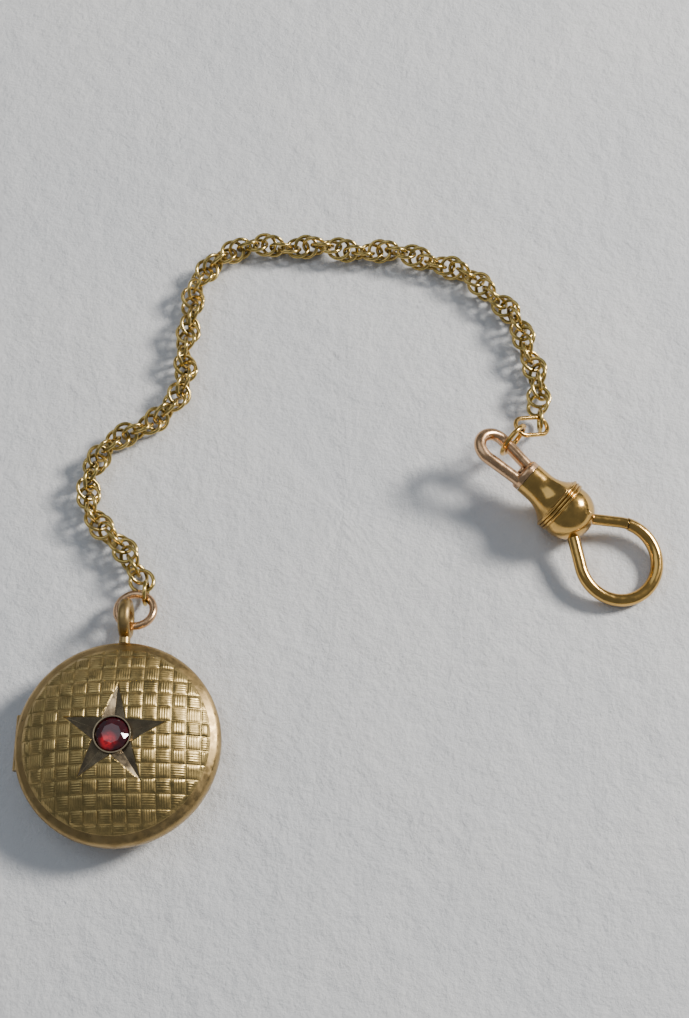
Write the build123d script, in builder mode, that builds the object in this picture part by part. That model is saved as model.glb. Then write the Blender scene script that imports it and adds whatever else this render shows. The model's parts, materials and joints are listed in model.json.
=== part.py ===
from build123d import *

import os
from math import acos, asin, atan2, cos, degrees, hypot, radians, sin, sqrt, tan

# A pocket watch chain, in millimetres: a rope chain with a locket fob at one end and a swivel dog
# clip at the other, lying on a table. +Z is up and the table is z = 0. The origin is on the table
# under the middle of the locket, and +Y runs from the locket towards its bail.

os.makedirs("parts", exist_ok=True)

# ---------------------------------------------------------------- driving dimensions

running_gap = 0.03  # radial gap of a part that turns on another
resting_gap = 0.02  # gap between parts that sit against each other
pressed_gap = 0.01  # radial gap of a part pressed into its hole
cutter_overrun = 0.5  # how far a cutter runs past each end of what it cuts

# locket shells
locket_radius = 11.0
rim_band = 0.8  # height of each shell's upright rim
rim_wall = 0.7
rim_round = 1.0  # radius of the corner between the rim and the dome
shell_wall = 0.55
cover_sphere = 18.0
back_sphere = 22.0
back_rest_radius = 4.0  # the flat in the middle of the back, on which the locket lies
star_plate = 1.5  # thickness of the cover's middle, which carries the star and its stone

# star cut round the stone
star_arms = 5
star_tip_radius = 5.5
star_half_angle = 18.0  # of an arm, at its tip
star_turn = -2.4
star_depth = 0.75
star_cutter_rise = 1.2

# garnet and its setting
stone_radius = 1.84
stone_sides = 16
stone_table_radius = 1.05
stone_crown = 0.55
stone_pavilion = 1.35
stone_sink = 0.2  # girdle below the top of the dome
setting_radius = 1.99
setting_bore = 1.45
setting_seat = 0.33

# hinge let into the locket's rim
hinge_inset = 0.45
knuckle_radius = 0.5
knuckle_relief = 0.06
knuckle_length = 2.0
hinge_end_gap = 0.1  # between the outer knuckles and the rim beside them
hinge_pin_radius = 0.28

# glazed frames inside the locket
bezel_inner_radius = 8.4
back_bezel_depth = 0.56
cover_bezel_top = 0.64
bezel_outer_radius = 10.22
snap_lip_radius = 10.1
snap_lip_wall = 0.65
snap_lip_height = 0.34
glass_radius = 8.8
glass_thickness = 0.25

# bail and the jump ring in it
bail_reach = 13.9  # from the middle of the locket to the middle of the bail
bail_drop = 0.1  # of the bail's middle, below the seam
bail_outer_radius = 2.3
bail_band = 0.85
bail_width = 1.3
bail_neck_radius = 0.62
bail_peg_radius = 0.26
bail_peg_drop = 0.38
bail_peg_length = 1.0
fob_ring_radius = 2.02
fob_ring_wire = 0.45
fob_ring_tilt = 11.0
fob_ring_centre = (0.835, 15.194, 2.429)

# rope of round links, each turned a little about the rope from the one before
wire_radius = 0.22
link_radius = 1.307
link_pitch = 1.0207
link_turn = 38.53
link_offset = 0.331  # of a link's middle from the middle line of the rope
rope_table_gap = 0.04
link_skew = -7.5
first_link_turn = 284.25
tightest_bend = 7.7  # where the links line up on the middle line and open out
tight_pitch_gain = 0.019
tight_turn_gain = 0.177
bend_reach = 0.3  # a link feels the rope's bend this far to each side
links_per_segment = 4
segment_count = 25

# the rope's lie on the table: where it starts, which way, and its run of arcs (length, turn)
rope_start = (1.76, 17.6)
rope_heading = 107.4
rope_arcs = [
    (8.4, 32.3),
    (16.0, -118.7),
    (11.1, 71.4),
    (9.3, -10.5),
    (13.5, -87.1),
    (12.1, 2.7),
    (9.0, -19.5),
    (16.2, -53.4),
    (10.5, -21.0),
]
first_link_at = 1.44
fob_end_ring_beyond = 0.237
clip_end_ring_beyond = 2.075
clip_end_ring_rise = 0.332
fob_end_ring_rise = 0.419
fob_end_ring_turn = -19.4

# rings between the rope and the clip
oval_length = 5.0
oval_width = 2.8
oval_wire = 0.26
oval_centre = (45.91, 37.3, 3.5)
oval_pitch = 26.5
oval_heading = 18.2
clip_ring_radius = 1.95
clip_ring_wire = 0.3
clip_ring_centre = (43.53, 35.08, 4.6)
clip_ring_heading = -41.4

# swivel dog clip, measured along its own axis from the top of the barrel
barrel_top = (45.07, 30.45)
clip_heading = -40.7
barrel_length = 4.15
barrel_radius = 1.92
barrel_straight = 1.6
barrel_flare = 3.1
barrel_wall = 0.6
barrel_end_wall = 0.7
collar_length = 1.15
collar_wall = 0.6
bead_radius = 0.22
bead_count = 3
bulb_radius = 3.15
bulb_middle = 5.9
bulb_wall = 0.5

# teardrop hook and its gate
loop_centre = (13.9, -0.3)
loop_radius = 4.55
loop_root = 6.3  # where the two straight sides would meet on the clip's axis
hook_wire = 0.72
gate_wire = 0.64
gate_seam_angle = 115.0
gate_pivot_from_root = 1.5
hook_root_at = 1.3
gate_swing = 32.0
gate_eye_radius = 0.8
gate_pin_radius = 0.3
gate_heel_angle = 200.0
gate_heel_length = 1.7
gate_heel_width = 0.5
gate_eye_shoulder = 0.1  # how much thicker the eye is than the wire
gate_pin_length = 5.1
slot_gap = 0.08
seam_gap = 0.1
spring_foot = (4.3, 1.7)
spring_tip = (6.3, 0.62)
spring_thickness = 0.18
spring_width = 1.0

# swivel
bow_wire = 0.7
bow_loop_radius = 1.8
bow_loop_at = -5.15
bow_foot = (-0.6, 1.25)
bow_base_radius = 1.9
bow_base_gap = 0.06
bow_base_round = 0.45
bow_base_top = -0.95
bow_turn = -20.0
rivet_radius = 0.36
rivet_head_radius = 0.52
rivet_head_height = 0.4
rivet_peened_radius = 0.6
rivet_peened_height = 0.3
washer_radius = 1.1
washer_thickness = 0.25

# ---------------------------------------------------------------- locket planes and heights


def sphere_centre(sphere):
    """Height over the seam of the centre of a dome that springs from the top of the rim."""
    return rim_band - sqrt(sphere**2 - locket_radius**2)


def dome_height(radius, sphere):
    """Height over the seam of that dome's surface at a radius."""
    return sphere_centre(sphere) + sqrt(sphere**2 - radius**2)


back_height = dome_height(back_rest_radius, back_sphere)
cover_height = dome_height(0, cover_sphere)
seam_height = back_height
cover_seam = seam_height + resting_gap
rim_bore = locket_radius - rim_wall

# section planes through the locket's axis: x runs out from the axis and y runs away from the seam
back_section = Plane(origin=(0, 0, seam_height), x_dir=(1, 0, 0), z_dir=(0, 1, 0))
cover_section = Plane(origin=(0, 0, cover_seam), x_dir=(1, 0, 0), z_dir=(0, -1, 0))

hinge_x = hinge_inset - locket_radius
hinge_plane = Plane(origin=(hinge_x, 0, seam_height), x_dir=(1, 0, 0), z_dir=(0, 1, 0))
hinge_length = 3 * knuckle_length
back_knuckle_at = knuckle_length
bail_height = seam_height - bail_drop


def domed_disc(section, radius, sphere, centre, top, rounding=0):
    """Half section of a disc with a flat seam side, an upright edge and a domed outside."""
    with BuildSketch(section) as half:
        with Locations((0, centre)):
            Circle(sphere)
        Rectangle(radius, top, align=(Align.MIN, Align.MIN), mode=Mode.INTERSECT)
        if rounding:
            shoulder = half.vertices().sort_by_distance((radius, rim_band))[0]
            fillet(shoulder, rounding)
    return half.sketch


def hinge_cutter(relief_places):
    """What a shell loses for the hinge: the rim outside the axis, and room for the other's knuckles."""
    with BuildPart() as cutter:
        with Locations((hinge_x, 0, seam_height)):
            Box(
                locket_radius,
                hinge_length + 2 * hinge_end_gap,
                2 * rim_band,
                align=(Align.MAX, Align.CENTER, Align.CENTER),
            )
        for place in relief_places:
            with Locations(hinge_plane.offset(place)):
                Cylinder(knuckle_radius + knuckle_relief, knuckle_length + 2 * knuckle_relief)
    return cutter.part


# ---------------------------------------------------------------- locket back

with BuildPart() as locket_back:
    add(
        domed_disc(
            back_section,
            locket_radius,
            back_sphere,
            sphere_centre(back_sphere),
            back_height,
            rim_round,
        )
    )
    revolve(axis=Axis.Z)
    add(
        domed_disc(
            back_section,
            rim_bore,
            back_sphere - shell_wall,
            sphere_centre(back_sphere),
            back_height - shell_wall,
        )
    )
    revolve(axis=Axis.Z, mode=Mode.SUBTRACT)
    add(hinge_cutter([0]), mode=Mode.SUBTRACT)
    for place in (-back_knuckle_at, back_knuckle_at):
        with Locations(hinge_plane.offset(place)):
            Cylinder(knuckle_radius, knuckle_length - knuckle_relief)
    with Locations(hinge_plane):
        Cylinder(hinge_pin_radius + resting_gap, hinge_length + 2 * cutter_overrun, mode=Mode.SUBTRACT)
    with Locations(Plane(origin=(0, rim_bore, seam_height - bail_peg_drop), z_dir=(0, 1, 0))):
        Cylinder(bail_peg_radius + pressed_gap, 2 * rim_wall, mode=Mode.SUBTRACT)
locket_back.part.label = "locket_back"
export_step(locket_back.part, "parts/locket_back.step")

# ---------------------------------------------------------------- locket cover

with BuildPart() as star_cutter:
    star_top = Plane(origin=(0, 0, cover_seam))
    shoulder = star_tip_radius * tan(radians(star_half_angle)) * (1 + star_cutter_rise / star_depth)
    for arm in range(star_arms):
        angle = radians(90 + star_turn + arm * 360 / star_arms)
        outward = Vector(cos(angle), sin(angle), 0)
        tip_height = cover_seam + dome_height(star_tip_radius, cover_sphere)
        tip = Vertex(outward.X * star_tip_radius, outward.Y * star_tip_radius, tip_height)
        across = Plane(origin=(0, 0, cover_seam), x_dir=Vector(0, 0, 1).cross(outward), z_dir=outward)
        with BuildSketch(across) as groove:
            with BuildLine():
                Polyline(
                    (0, cover_height - star_depth),
                    (shoulder, cover_height + star_cutter_rise),
                    (-shoulder, cover_height + star_cutter_rise),
                    close=True,
                )
            make_face()
        loft(sections=[groove.sketch.face(), tip], ruled=True)

with BuildPart() as locket_cover:
    add(
        domed_disc(
            cover_section,
            locket_radius,
            cover_sphere,
            sphere_centre(cover_sphere),
            cover_height,
            rim_round,
        )
    )
    revolve(axis=Axis.Z)
    add(
        domed_disc(
            cover_section,
            rim_bore,
            cover_sphere - shell_wall,
            sphere_centre(cover_sphere),
            cover_height - star_plate,
        )
    )
    revolve(axis=Axis.Z, mode=Mode.SUBTRACT)
    add(star_cutter.part, mode=Mode.SUBTRACT)
    with Locations((0, 0, cover_seam + cover_height - star_plate)):
        Cylinder(
            setting_radius + pressed_gap,
            2 * star_plate,
            align=(Align.CENTER, Align.CENTER, Align.CENTER),
            mode=Mode.SUBTRACT,
        )
    add(hinge_cutter([-back_knuckle_at, back_knuckle_at]), mode=Mode.SUBTRACT)
    with Locations(hinge_plane):
        Cylinder(knuckle_radius, knuckle_length - knuckle_relief)
        Cylinder(hinge_pin_radius + running_gap, hinge_length + 2 * cutter_overrun, mode=Mode.SUBTRACT)
locket_cover.part.label = "locket_cover"
export_step(locket_cover.part, "parts/locket_cover.step")

with BuildPart() as locket_hinge_pin:
    with Locations(hinge_plane):
        Cylinder(hinge_pin_radius, hinge_length - knuckle_relief)
locket_hinge_pin.part.label = "locket_hinge_pin"
export_step(locket_hinge_pin.part, "parts/locket_hinge_pin.step")

# ---------------------------------------------------------------- glazed frames inside the locket


def frame_ring(section, low, high, lip):
    """A bezel ring between two heights over a seam, with an upright snap lip where one is asked for."""
    with BuildPart() as ring:
        with BuildSketch(section):
            with Locations((bezel_inner_radius, low)):
                Rectangle(bezel_outer_radius - bezel_inner_radius, high - low, align=(Align.MIN, Align.MIN))
            if lip:
                with Locations((snap_lip_radius, low)):
                    Rectangle(snap_lip_wall, high - low + lip, align=(Align.MAX, Align.MIN))
        revolve(axis=Axis.Z)
        with Locations(hinge_plane):
            Cylinder(knuckle_radius + 2 * knuckle_relief, hinge_length + 2 * cutter_overrun, mode=Mode.SUBTRACT)
    return ring.part


with BuildPart() as back_bezel:
    add(frame_ring(cover_section, -back_bezel_depth - resting_gap, -resting_gap, snap_lip_height))
back_bezel.part.label = "back_bezel"
export_step(back_bezel.part, "parts/back_bezel.step")

with BuildPart() as cover_bezel:
    add(frame_ring(cover_section, snap_lip_height + resting_gap, cover_bezel_top, 0))
cover_bezel.part.label = "cover_bezel"
export_step(cover_bezel.part, "parts/cover_bezel.step")

with BuildPart() as back_glass:
    with Locations((0, 0, cover_seam - back_bezel_depth - 2 * resting_gap)):
        Cylinder(glass_radius, glass_thickness, align=(Align.CENTER, Align.CENTER, Align.MAX))
back_glass.part.label = "back_glass"
export_step(back_glass.part, "parts/back_glass.step")

with BuildPart() as cover_glass:
    with Locations((0, 0, cover_seam + cover_bezel_top + resting_gap)):
        Cylinder(glass_radius, glass_thickness, align=(Align.CENTER, Align.CENTER, Align.MIN))
cover_glass.part.label = "cover_glass"
export_step(cover_glass.part, "parts/cover_glass.step")

# ---------------------------------------------------------------- garnet and its setting

girdle = Plane.XY.offset(cover_seam + cover_height - stone_sink)

with BuildPart() as stone_setting:
    with BuildSketch(Plane(origin=girdle.origin, x_dir=(1, 0, 0), z_dir=(0, -1, 0))):
        with BuildLine():
            Polyline(
                (setting_radius, stone_sink - star_plate),
                (setting_radius, stone_sink),
                (stone_radius + pressed_gap, stone_sink),
                (stone_radius + pressed_gap, -resting_gap),
                (setting_bore, -setting_seat),
                (setting_bore, stone_sink - star_plate),
                close=True,
            )
        make_face()
    revolve(axis=Axis.Z)
stone_setting.part.label = "stone_setting"
export_step(stone_setting.part, "parts/stone_setting.step")

with BuildPart() as garnet:
    with BuildSketch(girdle) as girdle_outline:
        RegularPolygon(stone_radius, stone_sides)
    with BuildSketch(girdle.offset(stone_crown)) as table:
        RegularPolygon(stone_table_radius, stone_sides)
    loft(sections=[girdle_outline.sketch.face(), table.sketch.face()], ruled=True)
    culet = girdle.origin - Vector(0, 0, stone_pavilion)
    loft(sections=[girdle_outline.sketch.face(), Vertex(*culet)], ruled=True)
garnet.part.label = "garnet"
export_step(garnet.part, "parts/garnet.step")

# ---------------------------------------------------------------- bail and the jump ring in it

bail_centre = Vector(0, bail_reach, bail_height)
neck_foot = locket_radius + 2 * resting_gap

with BuildPart() as bail:
    with BuildSketch(Plane(origin=bail_centre, x_dir=(1, 0, 0), z_dir=(0, -1, 0))):
        with Locations((0, bail_outer_radius - bail_band / 2)):
            Ellipse(bail_width / 2, bail_band / 2)
    revolve(axis=Axis(bail_centre, (1, 0, 0)))
    with Locations(Plane(origin=(0, neck_foot, bail_height), z_dir=(0, 1, 0))):
        Cylinder(
            bail_neck_radius,
            bail_reach - bail_outer_radius + bail_band / 2 - neck_foot,
            align=(Align.CENTER, Align.CENTER, Align.MIN),
        )
    peg_foot = (0, neck_foot + bail_peg_radius, seam_height - bail_peg_drop)
    with Locations(Plane(origin=peg_foot, z_dir=(0, 1, 0))):
        Cylinder(bail_peg_radius, bail_peg_length, align=(Align.CENTER, Align.CENTER, Align.MAX))
bail.part.label = "bail"
export_step(bail.part, "parts/bail.step")

with BuildPart() as fob_jump_ring:
    tilt = radians(fob_ring_tilt)
    with Locations(Plane(origin=fob_ring_centre, z_dir=(0, sin(tilt), cos(tilt)))):
        Torus(fob_ring_radius, fob_ring_wire)
fob_jump_ring.part.label = "fob_jump_ring"
export_step(fob_jump_ring.part, "parts/fob_jump_ring.step")

# ---------------------------------------------------------------- rope

rope_height = hypot(link_radius, link_offset) + wire_radius + rope_table_gap

with BuildLine() as rope_line:
    place = Vector(*rope_start, rope_height)
    ahead = Vector(1, 0, 0).rotate(Axis.Z, rope_heading)
    for length, turn in rope_arcs:
        arc = JernArc(place, ahead, length / radians(abs(turn)), turn)
        place = arc @ 1
        ahead = arc % 1
rope = rope_line.wire()
rope_length = rope.length


def rope_direction(distance):
    """Which way the rope runs at a distance along it."""
    within = min(max(distance, 0), rope_length)
    return rope.tangent_at(within, position_mode=PositionMode.LENGTH)


def bend_at(distance):
    """How tightly the rope bends about here: 0 where it is straight, 1 at its tightest bend."""
    low = max(distance - bend_reach, 0)
    high = min(distance + bend_reach, rope_length)
    turned = radians(rope_direction(low).get_angle(rope_direction(high)))
    return tightest_bend * turned / (high - low)


def link_plane(distance, turn, offset, skew):
    """Where a link lies: its centre, and a plane whose normal is the link's own axis."""
    along = Axis((0, 0, 0), rope_direction(distance))
    left = Vector(0, 0, 1).cross(along.direction)
    out = left.rotate(along, turn)
    centre = rope.position_at(distance, position_mode=PositionMode.LENGTH) + out * offset
    return Plane(origin=centre, x_dir=along.direction, z_dir=out.rotate(along, skew))


link_planes = []
distance = first_link_at
turn = first_link_turn
for link in range(links_per_segment * segment_count):
    bend = bend_at(distance)
    link_planes.append(link_plane(distance, turn, link_offset * (1 - bend), link_skew))
    distance += link_pitch * (1 + tight_pitch_gain * bend)
    turn += link_turn * (1 + tight_turn_gain * bend)
last_link_at = distance - link_pitch

for segment in range(segment_count):
    with BuildPart() as rope_segment:
        for plane in link_planes[segment * links_per_segment : (segment + 1) * links_per_segment]:
            with Locations(plane):
                Torus(link_radius, wire_radius)
    name = f"rope_segment_{segment + 1:02d}"
    rope_segment.part.label = name
    export_step(rope_segment.part, f"parts/{name}.step")

# ---------------------------------------------------------------- rings between the rope and the bow


def end_ring_plane(distance, beyond, rise, turn=0):
    """An upright ring in line with the rope or turned from it, beyond a place on it and higher."""
    ahead = rope_direction(distance)
    centre = rope.position_at(distance, position_mode=PositionMode.LENGTH) + ahead * beyond
    flat = ahead.rotate(Axis.Z, turn)
    return Plane(origin=centre + Vector(0, 0, rise), x_dir=flat, z_dir=Vector(0, 0, 1).cross(flat))


with BuildPart() as fob_end_ring:
    with Locations(end_ring_plane(0, -fob_end_ring_beyond, fob_end_ring_rise, fob_end_ring_turn)):
        Torus(link_radius, wire_radius)
fob_end_ring.part.label = "fob_end_ring"
export_step(fob_end_ring.part, "parts/fob_end_ring.step")

with BuildPart() as clip_end_ring:
    with Locations(end_ring_plane(last_link_at, clip_end_ring_beyond, clip_end_ring_rise)):
        Torus(link_radius, wire_radius)
clip_end_ring.part.label = "clip_end_ring"
export_step(clip_end_ring.part, "parts/clip_end_ring.step")

oval_plane = Plane(
    origin=oval_centre,
    x_dir=Vector(1, 0, 0).rotate(Axis.Y, oval_pitch).rotate(Axis.Z, oval_heading),
    z_dir=Vector(0, 0, 1).rotate(Axis.Y, oval_pitch).rotate(Axis.Z, oval_heading),
)
with BuildPart() as oval_link:
    half_straight = (oval_length - oval_width) / 2
    side = oval_width / 2 - oval_wire
    for end in (-1, 1):
        wire_places = [
            oval_plane.from_local_coords((0, end * side)),
            oval_plane.from_local_coords((end * half_straight, side)),
        ]
        with BuildSketch(Plane(origin=wire_places[0], z_dir=oval_plane.x_dir)):
            Circle(oval_wire)
        extrude(amount=half_straight, both=True)
        with BuildSketch(Plane(origin=wire_places[1], z_dir=oval_plane.x_dir)):
            Circle(oval_wire)
        end_middle = oval_plane.from_local_coords((end * half_straight, 0))
        revolve(axis=Axis(end_middle, oval_plane.z_dir * -end), revolution_arc=180)
oval_link.part.label = "oval_link"
export_step(oval_link.part, "parts/oval_link.step")

with BuildPart() as clip_jump_ring:
    with Locations(Plane(origin=clip_ring_centre, z_dir=Vector(1, 0, 0).rotate(Axis.Z, clip_ring_heading))):
        Torus(clip_ring_radius, clip_ring_wire)
clip_jump_ring.part.label = "clip_jump_ring"
export_step(clip_jump_ring.part, "parts/clip_jump_ring.step")

# ---------------------------------------------------------------- clip planes

# The clip leans on the table at two places, its bulb and the far end of its hook.
hook_end = loop_centre[0] + loop_radius
clip_tilt = degrees(asin((bulb_radius - hook_wire) / (hook_end - bulb_middle)))
barrel_top_height = bulb_radius + bulb_middle * sin(radians(clip_tilt))

# x of the clip's plane runs from the barrel to the hook and the hook's loop lies in the plane
clip_along = Vector(1, 0, 0).rotate(Axis.Y, clip_tilt).rotate(Axis.Z, clip_heading)
clip_up = Vector(0, 0, 1).rotate(Axis.Y, clip_tilt).rotate(Axis.Z, clip_heading)
clip_plane = Plane(origin=(*barrel_top, barrel_top_height), x_dir=clip_along, z_dir=clip_up)
clip_axis = Axis(clip_plane.origin, clip_along)
across_clip = Plane(origin=clip_plane.origin, x_dir=clip_plane.y_dir, z_dir=clip_along)
bow_up = clip_up.rotate(Axis((0, 0, 0), clip_along), bow_turn)
bow_plane = Plane(origin=clip_plane.origin, x_dir=clip_along, z_dir=bow_up)


def disc_between(low, high, radius, mode=Mode.ADD):
    """A disc on the clip's axis between two distances along it."""
    with Locations(across_clip.offset(low)):
        Cylinder(radius, high - low, align=(Align.CENTER, Align.CENTER, Align.MIN), mode=mode)


# ---------------------------------------------------------------- swivel: bow, rivet, washer

with BuildPart() as swivel_bow:
    disc_between(bow_base_top, -bow_base_gap, bow_base_radius)
    fillet(swivel_bow.edges().filter_by(GeomType.CIRCLE).sort_by(clip_axis)[0], bow_base_round)
    foot_reach = hypot(bow_foot[0] - bow_loop_at, bow_foot[1])
    foot_angle = atan2(bow_foot[1], bow_foot[0] - bow_loop_at)
    leaves_at = degrees(foot_angle + acos(bow_loop_radius / foot_reach))
    with BuildLine(bow_plane) as bow_line:
        crown = CenterArc((bow_loop_at, 0), bow_loop_radius, leaves_at, 360 - 2 * leaves_at)
        Line(bow_foot, crown @ 0)
        Line(crown @ 1, (bow_foot[0], -bow_foot[1]))
    with BuildSketch(Plane(origin=bow_line.wire() @ 0, z_dir=bow_line.wire() % 0)):
        Circle(bow_wire)
    sweep(path=bow_line.wire())
    disc_between(bow_base_top - 2 * bow_wire, 0, rivet_radius + running_gap, mode=Mode.SUBTRACT)
swivel_bow.part.label = "swivel_bow"
export_step(swivel_bow.part, "parts/swivel_bow.step")

with BuildPart() as swivel_rivet:
    head_low = bow_base_top - resting_gap - rivet_head_height
    peened_low = barrel_end_wall + washer_thickness + 2 * resting_gap
    disc_between(head_low, peened_low + rivet_peened_height, rivet_radius)
    disc_between(head_low, head_low + rivet_head_height, rivet_head_radius)
    disc_between(peened_low, peened_low + rivet_peened_height, rivet_peened_radius)
    rim = swivel_rivet.edges().filter_by(GeomType.CIRCLE).sort_by(clip_axis)[0]
    fillet(rim, rivet_head_height / 2)
swivel_rivet.part.label = "swivel_rivet"
export_step(swivel_rivet.part, "parts/swivel_rivet.step")

with BuildPart() as swivel_washer:
    washer_low = barrel_end_wall + resting_gap
    disc_between(washer_low, washer_low + washer_thickness, washer_radius)
    disc_between(0, washer_low + washer_thickness, rivet_radius + resting_gap, mode=Mode.SUBTRACT)
swivel_washer.part.label = "swivel_washer"
export_step(swivel_washer.part, "parts/swivel_washer.step")

# ---------------------------------------------------------------- barrel, collar and bulb


def barrel_profile(start, radius, flare):
    """Half section of the barrel's outside or of its inside: a straight neck that opens like a bell."""
    with BuildSketch(clip_plane) as half:
        with BuildLine():
            Polyline(
                (barrel_straight, radius),
                (start, radius),
                (start, 0),
                (barrel_length, 0),
                (barrel_length, flare),
            )
            TangentArc((barrel_straight, radius), (barrel_length, flare), tangent=(1, 0))
        make_face()
    return half.sketch


with BuildPart() as clip_barrel:
    add(barrel_profile(0, barrel_radius, barrel_flare))
    revolve(axis=clip_axis)
    add(barrel_profile(barrel_end_wall, barrel_radius - barrel_wall, barrel_flare - barrel_wall))
    revolve(axis=clip_axis, mode=Mode.SUBTRACT)
    disc_between(0, barrel_end_wall, rivet_radius + resting_gap, mode=Mode.SUBTRACT)
clip_barrel.part.label = "clip_barrel"
export_step(clip_barrel.part, "parts/clip_barrel.step")

collar_low = barrel_length + resting_gap
collar_high = barrel_length + collar_length
with BuildPart() as clip_collar:
    with BuildSketch(clip_plane):
        with Locations((collar_low, barrel_flare - collar_wall)):
            Rectangle(collar_high - collar_low, collar_wall, align=(Align.MIN, Align.MIN))
        bead_step = (collar_high - collar_low) / bead_count
        with Locations(((collar_low + collar_high) / 2, barrel_flare)):
            with GridLocations(bead_step, 1, bead_count, 1):
                Ellipse(bead_step / 2, bead_radius)
    revolve(axis=clip_axis)
clip_collar.part.label = "clip_collar"
export_step(clip_collar.part, "parts/clip_collar.step")

# ---------------------------------------------------------------- lines of the hook and its gate

# Hook and gate make one loop, a drop with its point on the clip's axis; each has one straight side.
root_to_loop = loop_centre[0] - loop_root
leg_angle = degrees(asin(loop_radius / root_to_loop))
leg_length = sqrt(root_to_loop**2 - loop_radius**2)


def along_leg(side, distance):
    """A point on one straight side of the loop, at a distance from the side's meeting point."""
    angle = radians(side * leg_angle)
    return (loop_root + distance * cos(angle), loop_centre[1] + distance * sin(angle))


pivot = along_leg(1, gate_pivot_from_root)
pivot_plane = Plane(origin=clip_plane.from_local_coords(pivot), x_dir=clip_along, z_dir=clip_up)
seam_point = Vector(*loop_centre) + Vector(loop_radius, 0).rotate(Axis.Z, gate_seam_angle)
seam_across = (clip_plane.from_local_coords(seam_point) - pivot_plane.origin).normalized()
seam_plane = Plane(origin=clip_plane.from_local_coords(seam_point), x_dir=clip_up, z_dir=seam_across)
past_seam = 5  # degrees of loop swept past the seam and then cut back to it


def cut_past_seam(far_side):
    """Cut a wire off square at the seam, on the hook's side or on the gate's."""
    with Locations(seam_plane.offset(-far_side * seam_gap / 2)):
        Box(
            4 * hook_wire,
            4 * hook_wire,
            loop_radius / 4,
            align=(Align.CENTER, Align.CENTER, Align.MIN if far_side > 0 else Align.MAX),
            mode=Mode.SUBTRACT,
        )


with BuildPart() as clip_hook:
    with BuildLine(clip_plane) as hook_line:
        Line(along_leg(-1, hook_root_at), along_leg(-1, leg_length))
        CenterArc(loop_centre, loop_radius, -90 - leg_angle, 90 + leg_angle + gate_seam_angle + past_seam)
    with BuildSketch(Plane(origin=hook_line.wire() @ 0, z_dir=hook_line.wire() % 0)):
        Circle(hook_wire)
    sweep(path=hook_line.wire())
    cut_past_seam(-1)
clip_hook.part.label = "clip_hook"
export_step(clip_hook.part, "parts/clip_hook.step")

heel_along = clip_along.rotate(Axis((0, 0, 0), clip_up), gate_heel_angle)
heel_plane = Plane(origin=pivot_plane.origin, x_dir=heel_along, z_dir=clip_up)
with BuildPart() as clip_gate:
    with BuildLine(clip_plane) as gate_line:
        Line(pivot, along_leg(1, leg_length))
        CenterArc(loop_centre, loop_radius, 90 + leg_angle, gate_seam_angle - past_seam - 90 - leg_angle)
    with BuildSketch(Plane(origin=gate_line.wire() @ 0, z_dir=gate_line.wire() % 0)):
        Circle(gate_wire)
    sweep(path=gate_line.wire())
    cut_past_seam(1)
    with Locations(pivot_plane):
        Cylinder(gate_eye_radius, 2 * gate_wire + gate_eye_shoulder)
    with Locations(heel_plane):
        Box(gate_heel_length, gate_heel_width, gate_wire, align=(Align.MIN, Align.CENTER, Align.CENTER))
    with Locations(pivot_plane):
        Cylinder(gate_pin_radius + running_gap, 4 * gate_wire, mode=Mode.SUBTRACT)
clip_gate.part.label = "clip_gate"
export_step(clip_gate.part, "parts/clip_gate.step")

# ---------------------------------------------------------------- bulb, gate pin and gate spring

with BuildPart() as clip_bulb:
    with Locations(across_clip.offset(bulb_middle)):
        Sphere(bulb_radius)
        Sphere(bulb_radius - bulb_wall, mode=Mode.SUBTRACT)
    disc_between(bulb_middle - 2 * bulb_radius, collar_high + resting_gap, bulb_radius, mode=Mode.SUBTRACT)
    # the slot the gate swings in
    slot_side = gate_wire + slot_gap
    closed_edge = Vector(0, slot_side).rotate(Axis.Z, leg_angle)
    open_edge = Vector(0, -slot_side).rotate(Axis.Z, leg_angle - gate_swing)
    with BuildSketch(pivot_plane):
        with BuildLine():
            Polyline(
                closed_edge,
                closed_edge + Vector(2 * bulb_radius, 0).rotate(Axis.Z, leg_angle),
                open_edge + Vector(2 * bulb_radius, 0).rotate(Axis.Z, leg_angle - gate_swing),
                open_edge,
                close=True,
            )
        make_face()
    extrude(amount=slot_side, both=True, mode=Mode.SUBTRACT)
    # the bore the hook's root is soldered into
    root_place = clip_plane.from_local_coords(along_leg(-1, hook_root_at))
    with Locations(Plane(origin=root_place, z_dir=hook_line.wire() % 0)):
        Cylinder(
            hook_wire + resting_gap,
            leg_length,
            align=(Align.CENTER, Align.CENTER, Align.MIN),
            mode=Mode.SUBTRACT,
        )
    with Locations(pivot_plane):
        Cylinder(gate_pin_radius + resting_gap / 2, 3 * bulb_radius, mode=Mode.SUBTRACT)
clip_bulb.part.label = "clip_bulb"
export_step(clip_bulb.part, "parts/clip_bulb.step")

with BuildPart() as gate_pin:
    with Locations(pivot_plane):
        Cylinder(gate_pin_radius, gate_pin_length)
gate_pin.part.label = "gate_pin"
export_step(gate_pin.part, "parts/gate_pin.step")

with BuildPart() as gate_spring:
    with BuildSketch(clip_plane):
        with BuildLine():
            Line(spring_foot, spring_tip)
            offset(amount=spring_thickness / 2)
        make_face()
    extrude(amount=spring_width / 2, both=True)
gate_spring.part.label = "gate_spring"
export_step(gate_spring.part, "parts/gate_spring.step")
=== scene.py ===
import json
import math

import bmesh
import bpy
import numpy as np
from mathutils import Matrix, Vector


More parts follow.
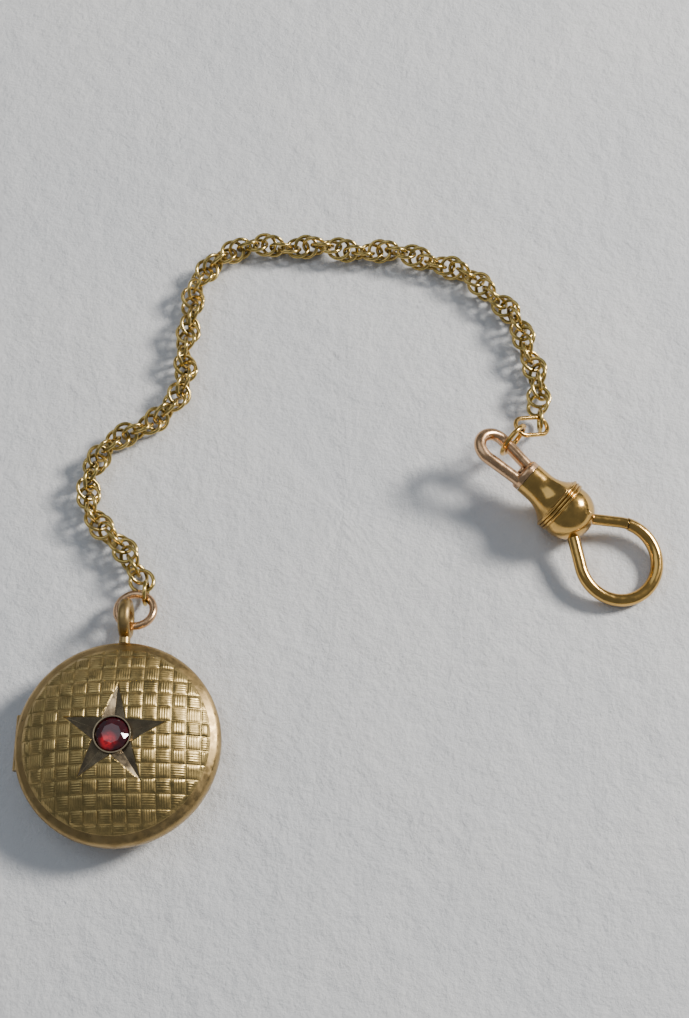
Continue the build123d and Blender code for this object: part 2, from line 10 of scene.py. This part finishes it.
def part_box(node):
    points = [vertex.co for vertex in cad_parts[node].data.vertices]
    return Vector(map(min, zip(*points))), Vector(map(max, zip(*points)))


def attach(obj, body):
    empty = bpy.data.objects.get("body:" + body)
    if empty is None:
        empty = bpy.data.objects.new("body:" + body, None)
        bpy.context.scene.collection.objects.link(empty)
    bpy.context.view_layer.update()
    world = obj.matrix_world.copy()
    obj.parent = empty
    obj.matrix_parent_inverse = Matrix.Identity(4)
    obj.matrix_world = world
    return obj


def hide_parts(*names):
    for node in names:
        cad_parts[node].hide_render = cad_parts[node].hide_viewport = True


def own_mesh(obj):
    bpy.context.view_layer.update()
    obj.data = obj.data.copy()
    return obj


# A pocket watch chain on a pale table: rope chain, engraved locket fob with a garnet, swivel dog clip.
# Every length here is in metres and every position is in the frame's own coordinates.

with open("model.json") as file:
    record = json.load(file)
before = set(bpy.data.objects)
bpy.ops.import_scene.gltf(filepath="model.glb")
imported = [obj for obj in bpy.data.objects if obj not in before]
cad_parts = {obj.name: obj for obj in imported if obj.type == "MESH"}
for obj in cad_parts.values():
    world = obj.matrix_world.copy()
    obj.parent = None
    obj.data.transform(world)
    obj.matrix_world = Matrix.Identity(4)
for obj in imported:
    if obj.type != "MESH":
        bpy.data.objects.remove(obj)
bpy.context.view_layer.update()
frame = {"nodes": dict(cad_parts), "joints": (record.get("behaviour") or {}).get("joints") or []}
MM = 0.001

# ---------------------------------------------------------------- places read from the frame

joints = {joint["name"]: joint for joint in frame["joints"]}
stone_low, stone_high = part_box("garnet")

seam_height = joints["cover_hinge"]["pos_m"][2]

# ---------------------------------------------------------------- materials


class Nodes:
    """A small helper that adds and joins shader nodes of one material."""

    def __init__(self, name):
        self.material = bpy.data.materials.new(name)
        self.material.use_nodes = True
        self.tree = self.material.node_tree
        self.surface = self.tree.nodes["Principled BSDF"]

    def add(self, kind, values=None, **settings):
        node = self.tree.nodes.new(kind)
        for key, value in settings.items():
            setattr(node, key, value)
        for socket, value in (values or {}).items():
            self.give(node, socket, value)
        return node

    def give(self, node, socket, value):
        target = node.inputs[socket]
        if isinstance(value, bpy.types.NodeSocket):
            self.tree.links.new(value, target)
        else:
            target.default_value = value

    def noise(self, size, detail=4.0, rough=0.6, stretch=(1, 1, 1)):
        """Noise whose grain is about size metres across."""
        place = self.add("ShaderNodeTexCoord").outputs["Object"]
        scaled = self.add("ShaderNodeMapping", {"Vector": place, "Scale": stretch})
        return self.add(
            "ShaderNodeTexNoise",
            {"Vector": scaled.outputs["Vector"], "Scale": 1 / size, "Detail": detail, "Roughness": rough},
        ).outputs["Fac"]

    def ramp(self, value, low, high, low_out=0.0, high_out=1.0):
        return self.add(
            "ShaderNodeMapRange",
            {"Value": value, "From Min": low, "From Max": high, "To Min": low_out, "To Max": high_out},
            interpolation_type="SMOOTHSTEP",
        ).outputs["Result"]

    def mix(self, share, first, second):
        node = self.add("ShaderNodeMix", data_type="RGBA")
        self.give(node, 0, share)
        self.give(node, 6, first)
        self.give(node, 7, second)
        return node.outputs[2]

    def multiply(self, first, second):
        return self.add("ShaderNodeMath", {0: first, 1: second}, operation="MULTIPLY").outputs[0]

    def bump(self, height, depth, strength=1.0, normal=None):
        values = {"Height": height, "Distance": depth, "Strength": strength}
        if normal is not None:
            values["Normal"] = normal
        return self.add("ShaderNodeBump", values).outputs["Normal"]

    def round_edges(self, radius):
        return self.add("ShaderNodeBevel", {"Radius": radius}, samples=6).outputs["Normal"]


def gold(name, bright, worn, grime_and_shade, roughness, grime_and_shade_reach, edge, scratch_depth):
    """Old gold: its colour drifts, grime and painted shade sit in its hollows, and fine scratches break up
    the polish.
    """
    n = Nodes(name)
    drift = n.ramp(n.noise(2.2 * MM, 3), 0.35, 0.65)
    colour = n.mix(drift, bright, worn)
    # Painted shade: the grime colour is mixed in wherever ambient occlusion finds hollows and gaps between
    # parts, and the speckle breaks it into patchy grime.
    hollow = n.add("ShaderNodeAmbientOcclusion", {"Distance": grime_and_shade_reach}, samples=8).outputs["AO"]
    speckle = n.noise(0.25 * MM, 5, 0.7)
    grime_and_shade_mask = n.ramp(hollow, 0.15, 0.75, 1.0, 0.0)
    patchy_grime_and_shade = n.multiply(grime_and_shade_mask, n.ramp(speckle, 0.25, 0.6, 0.65, 1.0))
    colour = n.mix(patchy_grime_and_shade, colour, grime_and_shade)
    n.give(n.surface, "Base Color", colour)
    n.give(n.surface, "Metallic", 1.0)
    smear = n.ramp(n.noise(0.9 * MM, 6, 0.65), 0.3, 0.7, roughness * 0.7, roughness * 1.35)
    dull = n.add("ShaderNodeMath", {0: smear, 1: n.multiply(patchy_grime_and_shade, 0.35)}, operation="ADD").outputs[0]
    n.give(n.surface, "Roughness", dull)
    scratches = n.noise(0.12 * MM, 4, 0.6, (1.0, 0.18, 1.0))
    dents = n.noise(1.3 * MM, 2, 0.5)
    normal = n.round_edges(edge)
    normal = n.bump(dents, 0.02 * MM, 0.8, normal)
    normal = n.bump(scratches, scratch_depth, 1.0, normal)
    n.give(n.surface, "Normal", normal)
    return n.material


yellow_gold = gold(
    "yellow_gold",
    bright=(0.74, 0.45, 0.13, 1),
    worn=(0.58, 0.36, 0.11, 1),
    grime_and_shade=(0.07, 0.045, 0.015, 1),
    roughness=0.17,
    grime_and_shade_reach=0.9 * MM,
    edge=0.06 * MM,
    scratch_depth=0.0015 * MM,
)
# The rope's near-black grime colour, mixed in by ambient occlusion, paints the shade between its rings
# along with grime.
rope_gold = gold(
    "rope_gold",
    bright=(0.70, 0.50, 0.17, 1),
    worn=(0.50, 0.37, 0.12, 1),
    grime_and_shade=(0.03, 0.025, 0.008, 1),
    roughness=0.20,
    grime_and_shade_reach=1.0 * MM,
    edge=0.02 * MM,
    scratch_depth=0.0015 * MM,
)
rose_gold = gold(
    "rose_gold",
    bright=(0.80, 0.50, 0.28, 1),
    worn=(0.64, 0.40, 0.22, 1),
    grime_and_shade=(0.10, 0.06, 0.03, 1),
    roughness=0.24,
    grime_and_shade_reach=0.8 * MM,
    edge=0.05 * MM,
    scratch_depth=0.0015 * MM,
)
antique_gold = gold(
    "antique_gold",
    bright=(0.44, 0.31, 0.12, 1),
    worn=(0.33, 0.23, 0.09, 1),
    grime_and_shade=(0.07, 0.05, 0.02, 1),
    roughness=0.34,
    grime_and_shade_reach=0.5 * MM,
    edge=0.06 * MM,
    scratch_depth=0.002 * MM,
)
engraved_gold = gold(
    "engraved_gold",
    bright=(0.46, 0.33, 0.13, 1),
    worn=(0.34, 0.25, 0.10, 1),
    grime_and_shade=(0.05, 0.035, 0.012, 1),
    roughness=0.38,
    grime_and_shade_reach=0.22 * MM,
    edge=0.01 * MM,
    scratch_depth=0.001 * MM,
)
# A darker, greyer copy of the cover's gold for the star's facets and the stone's setting: painted shade and
# reflection.
shaded_star_gold = gold(
    "shaded_star_gold",
    bright=(0.30, 0.24, 0.15, 1),
    worn=(0.22, 0.17, 0.11, 1),
    grime_and_shade=(0.06, 0.045, 0.03, 1),
    roughness=0.26,
    grime_and_shade_reach=0.3 * MM,
    edge=0.01 * MM,
    scratch_depth=0.002 * MM,
)
rim_gold = gold(
    "rim_gold",
    bright=(0.46, 0.32, 0.14, 1),
    worn=(0.35, 0.24, 0.10, 1),
    grime_and_shade=(0.09, 0.06, 0.03, 1),
    roughness=0.38,
    grime_and_shade_reach=0.4 * MM,
    edge=0.06 * MM,
    scratch_depth=0.002 * MM,
)


def spring_material():
    """Blued spring steel with faint brushing."""
    n = Nodes("spring_steel")
    tone = n.ramp(n.noise(0.5 * MM), 0.3, 0.7)
    n.give(n.surface, "Base Color", n.mix(tone, (0.42, 0.43, 0.46, 1), (0.30, 0.31, 0.35, 1)))
    n.give(n.surface, "Metallic", 1.0)
    n.give(n.surface, "Roughness", n.ramp(n.noise(0.1 * MM), 0.3, 0.7, 0.28, 0.42))
    n.give(n.surface, "Normal", n.bump(n.noise(0.06 * MM, 3, 0.6, (1, 0.1, 1)), 0.001 * MM))
    return n.material


def glass_material():
    """Clear glass with a little dust on it."""
    n = Nodes("clear_glass")
    dust = n.ramp(n.noise(0.4 * MM, 6, 0.7), 0.45, 0.8, 0.0, 0.3)
    n.give(n.surface, "Base Color", n.mix(dust, (0.96, 0.98, 0.98, 1), (0.80, 0.80, 0.76, 1)))
    n.give(n.surface, "Transmission Weight", 1.0)
    n.give(n.surface, "IOR", 1.5)
    n.give(n.surface, "Roughness", n.ramp(dust, 0.0, 0.3, 0.02, 0.2))
    n.give(n.surface, "Normal", n.bump(n.noise(3 * MM), 0.004 * MM))
    return n.material


# Painted light: where the stone's red glow is painted in, off its middle.
PAINTED_GLOW_FROM_MIDDLE = Vector((-0.35, -0.75, 0.9)) * MM
PAINTED_GLOW_AT = ((stone_low + stone_high) / 2 + PAINTED_GLOW_FROM_MIDDLE).to_tuple()


def garnet_material():
    """Deep red stone: mostly dark, with a painted red glow, emitted light that stands for light coming back
    through it.
    """
    n = Nodes("garnet_stone")
    cloud = n.ramp(n.noise(0.8 * MM, 3), 0.3, 0.7)
    n.give(n.surface, "Base Color", n.mix(cloud, (0.05, 0.001, 0.003, 1), (0.02, 0.001, 0.003, 1)))
    n.give(n.surface, "Coat Weight", 0.3)
    place = n.add("ShaderNodeTexCoord").outputs["Object"]
    apart = n.add("ShaderNodeVectorMath", {0: place, 1: PAINTED_GLOW_AT}, operation="DISTANCE").outputs["Value"]
    painted_glow = n.ramp(apart, 0.2 * MM, 1.2 * MM, 0.6, 0.0)
    # Painted glow: emission, though the stone is no lamp.
    n.give(n.surface, "Emission Color", (0.9, 0.01, 0.02, 1))
    n.give(n.surface, "Emission Strength", n.multiply(painted_glow, n.ramp(n.noise(0.5 * MM), 0.3, 0.6, 0.25, 1.0)))
    n.give(n.surface, "IOR", 1.76)
    n.give(n.surface, "Roughness", n.ramp(n.noise(0.2 * MM, 5), 0.35, 0.75, 0.02, 0.09))
    n.give(n.surface, "Normal", n.bump(n.noise(0.3 * MM), 0.0015 * MM))
    return n.material


def floor_material():
    """Pale, slightly crinkled matt paper."""
    n = Nodes("paper")
    tone = n.ramp(n.noise(30 * MM, 3), 0.3, 0.7)
    n.give(n.surface, "Base Color", n.mix(tone, (0.74, 0.75, 0.765, 1), (0.80, 0.80, 0.80, 1)))
    n.give(n.surface, "Roughness", 0.8)
    grain = n.bump(n.noise(0.7 * MM, 6, 0.7), 0.3 * MM, 0.6)
    creases = n.bump(n.noise(2.6 * MM, 5, 0.55), 0.6 * MM, 0.5, grain)
    n.give(n.surface, "Normal", n.bump(n.noise(14 * MM, 3, 0.5), 1.2 * MM, 0.4, creases))
    return n.material


spring_steel = spring_material()
clear_glass = glass_material()
garnet_red = garnet_material()


def dress(node, material):
    """Give a CAD node one material."""
    mesh = frame["nodes"][node].data
    mesh.materials.clear()
    mesh.materials.append(material)
    for polygon in mesh.polygons:
        polygon.material_index = 0


MATERIAL_BY_START = (
    ("rope_segment", rope_gold),
    ("fob_end_ring", rope_gold),
    ("clip_end_ring", rope_gold),
    ("fob_jump_ring", rose_gold),
    ("swivel_bow", rose_gold),
    ("swivel_rivet", rose_gold),
    ("locket_back", rim_gold),
    ("locket_cover", rim_gold),
    ("locket_hinge_pin", rim_gold),
    ("bail", rim_gold),
    ("back_bezel", antique_gold),
    ("cover_bezel", antique_gold),
    ("stone_setting", shaded_star_gold),
    ("back_glass", clear_glass),
    ("cover_glass", clear_glass),
    ("garnet", garnet_red),
    ("gate_spring", spring_steel),
)


def material_of(node):
    for start, material in MATERIAL_BY_START:
        if node.startswith(start):
            return material
    return yellow_gold


for node in frame["nodes"]:
    dress(node, material_of(node))


def smooth_wire(node):
    """Round off the facets of a thin bent wire."""
    finer = frame["nodes"][node].modifiers.new("finer", "SUBSURF")
    finer.levels = 2
    finer.render_levels = 2


smooth_wire("oval_link")


# ---------------------------------------------------------------- gate spring


def springy_leaf():
    """The gate's spring again, as a copy of its mesh carried by the clip in place of the rigid part."""
    rigid = frame["nodes"]["gate_spring"]
    leaf = bpy.data.objects.new("gate_spring_leaf", rigid.data.copy())
    bpy.context.scene.collection.objects.link(leaf)
    along = Vector(joints["clip_swivel"]["axis"])
    outward = Vector(joints["gate_hinge"]["axis"]).cross(along).normalized()
    low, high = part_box("gate_spring")
    middle = (low + high) / 2
    on_axis = Vector(joints["clip_swivel"]["pos_m"])
    if outward.dot(middle - on_axis) < 0:
        outward = -outward
    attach(leaf, "clip")
    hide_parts("gate_spring")
    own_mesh(leaf)


springy_leaf()


# ---------------------------------------------------------------- engraved skin of the cover

SKIN_LIFT = 0.015 * MM  # how far the engraved skin lies over the cover's own surface
SKIN_INNER = 2.0 * MM
SKIN_OUTER = 9.95 * MM
SKIN_STEP = 0.045 * MM
SKIN_FADE = 0.35 * MM  # the weave dies away over this much at the rim
OUTER_SKIRT = 0.1 * MM  # how far the skin's edges are turned down into the cover
INNER_SKIRT = 0.2 * MM
DOME_SPHERE = 18.0 * MM
RIM_RADIUS = 11.0 * MM
RIM_BAND = 0.82 * MM  # from the seam to where the dome springs, gap included
STAR_ARMS = 5
STAR_TIP = 5.5 * MM
STAR_TURN = math.radians(90 - 2.4)
STAR_SPREAD = math.tan(math.radians(18))  # an arm's half width per length, back from its tip
STAR_SLOPE = 0.42  # how fast an arm's sides fall towards its middle line
STAR_MARGIN = 0.12 * MM  # plain strip round the star
WEAVE_PITCH = 1.5 * MM
WEAVE_LINES = 6
WEAVE_TURN = math.radians(1.5)
PILLOW_HEIGHT = 0.17 * MM
LINE_DEPTH = 0.035 * MM


def dome(radius):
    """Height of the cover's outside at a radius from its middle."""
    springs_at = seam_height + RIM_BAND - math.sqrt(DOME_SPHERE**2 - RIM_RADIUS**2)
    return springs_at + np.sqrt(DOME_SPHERE**2 - radius**2)


def star_inset(x, y):
    """How far a place is inside the star's outline, measured across its arm; negative outside."""
    inset = np.full_like(x, -np.inf)
    for arm in range(STAR_ARMS):
        angle = STAR_TURN + arm * 2 * math.pi / STAR_ARMS
        along = x * math.cos(angle) + y * math.sin(angle)
        across = -x * math.sin(angle) + y * math.cos(angle)
        inset_here = (STAR_TIP - along) * STAR_SPREAD - np.abs(across)
        inset = np.maximum(inset, np.where(along > 0, inset_here, -np.inf))
    return inset


def weave_height(x, y):
    """Relief of the basket weave: square pillows, each ribbed the other way from its neighbours."""
    u = (x * math.cos(WEAVE_TURN) + y * math.sin(WEAVE_TURN)) / WEAVE_PITCH
    v = (-x * math.sin(WEAVE_TURN) + y * math.cos(WEAVE_TURN)) / WEAVE_PITCH
    cell_u = np.floor(u)
    cell_v = np.floor(v)
    in_u = 2 * (u - cell_u) - 1
    in_v = 2 * (v - cell_v) - 1
    upright = (cell_u + cell_v) % 2 < 1
    across = np.where(upright, in_u, in_v)
    along = np.where(upright, in_v, in_u)
    pillow = (1 - np.abs(along) ** 4) * (1 - np.abs(across) ** 5)
    rib = 0.5 - 0.5 * np.cos(math.pi * WEAVE_LINES * (across + 1))
    uneven = 0.75 + 0.25 * np.sin(12.9 * cell_u + 78.2 * cell_v)
    return PILLOW_HEIGHT * uneven * pillow + LINE_DEPTH * rib * pillow


def engraved_cover():
    """A fine skin over the cover that carries the weave and the facets of the star."""
    rings = int((SKIN_OUTER - SKIN_INNER) / SKIN_STEP)
    spokes = int(2 * math.pi * SKIN_OUTER / SKIN_STEP)
    radius = np.linspace(SKIN_INNER, SKIN_OUTER, rings)[:, None]
    angle = np.linspace(0, 2 * math.pi, spokes, endpoint=False)[None, :]
    x = radius * np.cos(angle)
    y = radius * np.sin(angle)
    inset = star_inset(x, y)
    rim_fade = np.clip((SKIN_OUTER - radius) / SKIN_FADE, 0, 1)
    star_fade = np.clip(-inset / STAR_MARGIN, 0, 1)
    weave = weave_height(x, y) * rim_fade * star_fade
    groove = np.clip(inset, 0, None) * STAR_SLOPE
    z = dome(radius) + weave - groove + SKIN_LIFT
    skirt_outer = np.stack([x[-1], y[-1], z[-1] - OUTER_SKIRT], -1)[None]
    skirt_inner = np.stack([x[0], y[0], z[0] - INNER_SKIRT], -1)[None]
    points = np.concatenate([skirt_inner, np.stack([x, y, z], -1), skirt_outer])
    row = np.arange(points.shape[0] - 1)[:, None] * spokes
    here = np.arange(spokes)[None, :]
    after = (here + 1) % spokes
    corners = [row + here, row + spokes + here, row + spokes + after, row + after]
    faces = np.stack(corners, -1).reshape(-1, 4)
    mesh = bpy.data.meshes.new("cover_engraving")
    mesh.from_pydata(points.reshape(-1, 3).tolist(), [], faces.tolist())
    mesh.materials.append(engraved_gold)
    mesh.materials.append(shaded_star_gold)
    middle = points.reshape(-1, 3)[faces].mean(1)
    in_star = star_inset(middle[:, 0], middle[:, 1]) > 0
    mesh.polygons.foreach_set("material_index", in_star.astype(np.int32))
    mesh.polygons.foreach_set("use_smooth", ~in_star)
    mesh.update()
    skin = bpy.data.objects.new("cover_engraving", mesh)
    bpy.context.scene.collection.objects.link(skin)
    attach(skin, "locket_cover")


engraved_cover()


# ---------------------------------------------------------------- garnet

STONE_TABLE = 0.56  # radii of the stone's table and of its crown's break, as shares of the girdle's
STONE_BREAK = 0.80
STONE_FACETS = 8
CROWN_HEIGHT = 0.55 * MM
BREAK_SHARE = 0.62  # of the crown's height, from the girdle up to its break


def cut_garnet():
    """A brilliant cut: a flat table, star and kite facets round it, and a pointed pavilion below."""
    middle = (stone_low + stone_high) / 2
    girdle_radius = (stone_high.x - stone_low.x) / 2
    top = stone_high.z
    bottom = stone_low.z
    girdle = top - CROWN_HEIGHT
    break_height = girdle + BREAK_SHARE * CROWN_HEIGHT
    step = 2 * math.pi / STONE_FACETS

    def spot(radius, angle, height):
        return (middle.x + radius * math.cos(angle), middle.y + radius * math.sin(angle), height)

    points = [spot(STONE_TABLE * girdle_radius, i * step, top) for i in range(STONE_FACETS)]
    break_radius = STONE_BREAK * girdle_radius
    points += [spot(break_radius, (i + 0.5) * step, break_height) for i in range(STONE_FACETS)]
    points += [spot(girdle_radius, j * step / 2, girdle) for j in range(2 * STONE_FACETS)]
    points.append((middle.x, middle.y, bottom))
    breaks = STONE_FACETS
    rim = 2 * STONE_FACETS
    culet = 4 * STONE_FACETS
    faces = [tuple(range(STONE_FACETS))]
    for i in range(STONE_FACETS):
        after = (i + 1) % STONE_FACETS
        before = (i - 1) % STONE_FACETS
        here = rim + 2 * i
        half = rim + 2 * i + 1
        beyond = rim + (2 * i + 2) % (2 * STONE_FACETS)
        faces.append((after, i, breaks + i))
        faces.append((i, breaks + before, here, breaks + i))
        faces.append((breaks + i, here, half))
        faces.append((breaks + i, half, beyond))
        faces.append((here, culet, half))
        faces.append((half, culet, beyond))
    mesh = bpy.data.meshes.new("garnet_cut")
    mesh.from_pydata(points, [], faces)
    tidy = bmesh.new()
    tidy.from_mesh(mesh)
    bmesh.ops.recalc_face_normals(tidy, faces=tidy.faces)
    tidy.to_mesh(mesh)
    tidy.free()
    stone = bpy.data.objects.new("garnet_cut", mesh)
    bpy.context.scene.collection.objects.link(stone)
    mesh.materials.append(garnet_red)
    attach(stone, "locket_cover")
    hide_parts("garnet")


cut_garnet()

# ---------------------------------------------------------------- table, light and camera

CHAIN_MIDDLE = Vector((0.024, 0.028, 0))
TABLE_SIZE = 1.2
ROOM_COLOUR = (0.80, 0.88, 1.0, 1)
ROOM_STRENGTH = 0.2
CAMERA_AIM = Vector((0.024114, 0.028324, 0))
CAMERA_ELEVATION = math.radians(68)
CAMERA_DISTANCE = 0.163
CAMERA_LENS = 33.006  # millimetres, over a sensor 24 mm high
SENSOR_HEIGHT = 24
NEAREST_SEEN = 0.01

def table():
    bpy.ops.mesh.primitive_plane_add(size=TABLE_SIZE, location=CHAIN_MIDDLE)
    floor = bpy.context.object
    floor.name = "table"
    floor.data.materials.append(floor_material())


def area_light(name, azimuth, elevation, distance, width, power, colour):
    """A square soft light aimed at the middle of the chain."""
    away = Vector(
        (
            math.cos(elevation) * math.cos(azimuth),
            math.cos(elevation) * math.sin(azimuth),
            math.sin(elevation),
        )
    )
    data = bpy.data.lights.new(name, "AREA")
    data.size = width
    data.energy = power
    data.color = colour
    lamp = bpy.data.objects.new(name, data)
    lamp.location = CHAIN_MIDDLE + away * distance
    lamp.rotation_euler = (-away).to_track_quat("-Z", "Y").to_euler()
    bpy.context.scene.collection.objects.link(lamp)


def world_light():
    world = bpy.data.worlds.new("room")
    world.use_nodes = True
    shade = world.node_tree.nodes["Background"]
    shade.inputs["Color"].default_value = ROOM_COLOUR
    shade.inputs["Strength"].default_value = ROOM_STRENGTH
    bpy.context.scene.world = world


def camera():
    """From the near side, steeply down."""
    data = bpy.data.cameras.new("camera")
    data.sensor_fit = "VERTICAL"
    data.sensor_height = SENSOR_HEIGHT
    data.lens = CAMERA_LENS
    data.clip_start = NEAREST_SEEN
    eye = bpy.data.objects.new("camera", data)
    towards_eye = Vector((0, -math.cos(CAMERA_ELEVATION), math.sin(CAMERA_ELEVATION)))
    eye.location = CAMERA_AIM + towards_eye * CAMERA_DISTANCE
    eye.rotation_euler = (math.radians(90) - CAMERA_ELEVATION, 0, 0)
    bpy.context.scene.collection.objects.link(eye)
    bpy.context.scene.camera = eye


table()
area_light(
    "key",
    azimuth=math.radians(22),
    elevation=math.radians(33),
    distance=0.7,
    width=0.16,
    power=8.0,
    colour=(1.0, 0.96, 0.90),
)
area_light(
    "fill",
    azimuth=math.radians(150),
    elevation=math.radians(65),
    distance=0.8,
    width=0.7,
    power=1.2,
    colour=(0.85, 0.92, 1.0),
)
world_light()
camera()
